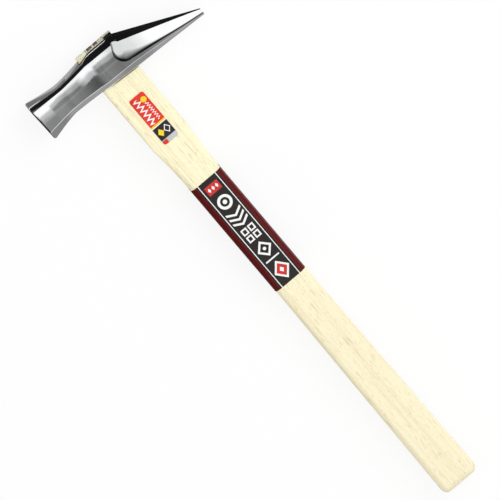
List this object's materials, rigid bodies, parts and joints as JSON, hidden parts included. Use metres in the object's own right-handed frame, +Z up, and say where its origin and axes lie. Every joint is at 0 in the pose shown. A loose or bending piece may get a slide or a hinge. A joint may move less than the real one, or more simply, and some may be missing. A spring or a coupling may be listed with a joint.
{
  "type": "pointed hammer",
  "caption": "Carpenter's hammer with a flared striking face, a long drooping ground point, and a waisted wooden handle wedged through the eye.",
  "frame": {"origin": "on the flat of the lower cheek, under the crossing of the handle's axis and the striking face's axis", "axes": "+X along the head to the point, +Y along the handle to the top of the head, +Z up through the cheeks; the hammer lies on its side"},
  "size_m": [0.1011, 0.2999, 0.021],
  "materials": {
    "polished_steel": "mirror-polished stainless steel, ground facets",
    "pale_wood": "bare pale hardwood, fine sanded",
    "wedge_steel": "dark rolled steel",
    "sticker_print": "glossy printed sticker",
    "sleeve_print": "thin printed film"
  },
  "bodies": {
    "root": {"hammer_head": "polished_steel", "handle": "pale_wood", "wedge_face_side": "wedge_steel", "wedge_point_side": "wedge_steel", "handle_sticker": "sticker_print", "label_sleeve": "sleeve_print"}
  },
  "joints": []
}
